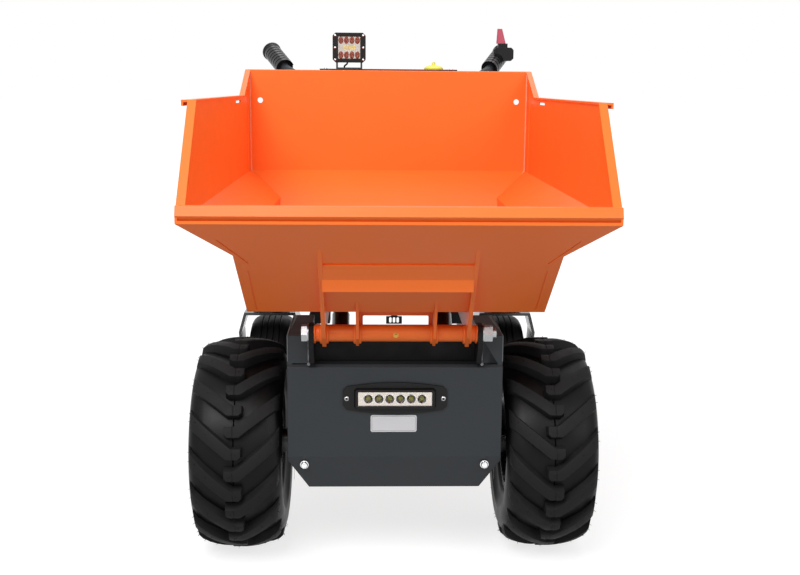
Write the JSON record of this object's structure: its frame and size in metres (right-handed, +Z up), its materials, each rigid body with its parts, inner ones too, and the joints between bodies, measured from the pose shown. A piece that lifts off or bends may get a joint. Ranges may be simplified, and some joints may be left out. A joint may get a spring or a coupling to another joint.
{
  "type": "site dumper, walk-behind, front tip",
  "caption": "Walk-behind site dumper with a front-tipping steel skip, two lugged drive wheels in front, two swivel casters behind and an open petrol engine.",
  "frame": {"origin": "on the ground under the middle of the machine", "axes": "+Z up; the machine looks along -Y, with the tipping lip in front and the handlebars at the back; +X is to the right of someone standing in front of it"},
  "size_m": [0.864, 1.5541, 1.1702],
  "materials": {
    "bare_steel": "satin",
    "black_paint": "satin",
    "black_plastic": "matte",
    "cast_alloy": "matte",
    "cast_housing": "matte",
    "caster_tyre": "matte",
    "chassis_paint": "satin",
    "chrome_rod": "polished",
    "clear_lens": "clear",
    "drive_tyre": "matte",
    "fork_paint": "gloss",
    "grip_wrap": "satin",
    "orange_paint": "satin",
    "red_paint": "gloss",
    "red_plastic": "satin",
    "rim_paint": "satin",
    "rubber_black": "matte",
    "yellow_plastic": "satin",
    "zinc_steel": "satin"
  },
  "bodies": {
    "chassis": {"air_cleaner": "black_plastic", "brake_lever": "red_plastic", "console_frame": "chassis_paint", "console_plate": "chassis_paint", "control_levers": "zinc_steel", "engine_block": "cast_alloy", "engine_deck": "chassis_paint", "engine_shroud": "black_plastic", "filler_cap": "yellow_plastic", "front_cover": "chassis_paint", "front_subframe": "chassis_paint", "fuel_tank": "red_paint", "grip_left": "grip_wrap", "grip_right": "grip_wrap", "handlebar_left": "chassis_paint", "handlebar_right": "chassis_paint", "hydraulic_pump": "cast_alloy", "hydraulic_tank": "chassis_paint", "lamp_bracket": "chassis_paint", "lamp_cable": "rubber_black", "lever_clamp": "black_plastic", "light_bar": "black_plastic", "light_bar_lens": "clear_lens", "main_frame": "chassis_paint", "muffler": "bare_steel", "pivot_ears": "chassis_paint", "pivot_pin": "zinc_steel", "pressure_hose": "rubber_black", "skip_stops": "rubber_black", "suction_hose": "rubber_black", "transaxle": "cast_housing", "work_lamp": "black_plastic", "work_lamp_lens": "clear_lens"},
    "skip": {"skip_shell": "orange_paint", "skip_underframe": "orange_paint", "pivot_tube": "orange_paint"},
    "front_wheel_left": {"front_tyre_left": "drive_tyre", "front_rim_left": "rim_paint"},
    "caster_left": {"caster_fork_left": "fork_paint"},
    "caster_wheel_left": {"caster_tyre_left": "caster_tyre", "caster_rim_left": "rim_paint"},
    "lift_barrel_left": {"lift_barrel_left": "black_paint"},
    "lift_rod_left": {"lift_rod_left": "chrome_rod"},
    "front_wheel_right": {"front_tyre_right": "drive_tyre", "front_rim_right": "rim_paint"},
    "caster_right": {"caster_fork_right": "fork_paint"},
    "caster_wheel_right": {"caster_tyre_right": "caster_tyre", "caster_rim_right": "rim_paint"},
    "lift_barrel_right": {"lift_barrel_right": "black_paint"},
    "lift_rod_right": {"lift_rod_right": "chrome_rod"}
  },
  "joints": [
    {"name": "skip_tip", "type": "hinge", "parent": "chassis", "child": "skip", "pos_m": [0, -0.524, 0.5165], "axis": [1, 0, 0], "range_deg": [0, 70]},
    {"name": "lift_lean_left", "type": "hinge", "parent": "chassis", "child": "lift_barrel_left", "pos_m": [-0.118, -0.435, 0.27], "axis": [1, 0, 0], "range_deg": [0, 47.6]},
    {"name": "lift_extend_left", "type": "slide", "parent": "lift_barrel_left", "child": "lift_rod_left", "axis": [0, 0.7872, 0.6167], "range_m": [0, 0.245]},
    {"name": "front_roll_left", "type": "hinge", "parent": "chassis", "child": "front_wheel_left", "pos_m": [-0.327, -0.33, 0.2285], "axis": [1, 0, 0], "continuous": true},
    {"name": "caster_swivel_left", "type": "hinge", "parent": "chassis", "child": "caster_left", "pos_m": [-0.335, 0.434, 0.358], "axis": [0, 0, 1], "continuous": true},
    {"name": "caster_roll_left", "type": "hinge", "parent": "caster_left", "child": "caster_wheel_left", "pos_m": [-0.335, 0.504, 0.165], "axis": [1, 0, 0], "continuous": true},
    {"name": "lift_lean_right", "type": "hinge", "parent": "chassis", "child": "lift_barrel_right", "pos_m": [0.118, -0.435, 0.27], "axis": [1, 0, 0], "range_deg": [0, 47.6]},
    {"name": "lift_extend_right", "type": "slide", "parent": "lift_barrel_right", "child": "lift_rod_right", "axis": [0, 0.7872, 0.6167], "range_m": [0, 0.245]},
    {"name": "front_roll_right", "type": "hinge", "parent": "chassis", "child": "front_wheel_right", "pos_m": [0.327, -0.33, 0.2285], "axis": [1, 0, 0], "continuous": true},
    {"name": "caster_swivel_right", "type": "hinge", "parent": "chassis", "child": "caster_right", "pos_m": [0.335, 0.434, 0.358], "axis": [0, 0, 1], "continuous": true},
    {"name": "caster_roll_right", "type": "hinge", "parent": "caster_right", "child": "caster_wheel_right", "pos_m": [0.335, 0.504, 0.165], "axis": [1, 0, 0], "continuous": true}
  ],
  "couplings": [
    {"joint": "lift_lean_left", "follows": "skip_tip", "ratio": 0.67947},
    {"joint": "lift_extend_left", "follows": "skip_tip", "m_per_rad": 0.20023},
    {"joint": "lift_lean_right", "follows": "skip_tip", "ratio": 0.67947},
    {"joint": "lift_extend_right", "follows": "skip_tip", "m_per_rad": 0.20023}
  ]
}
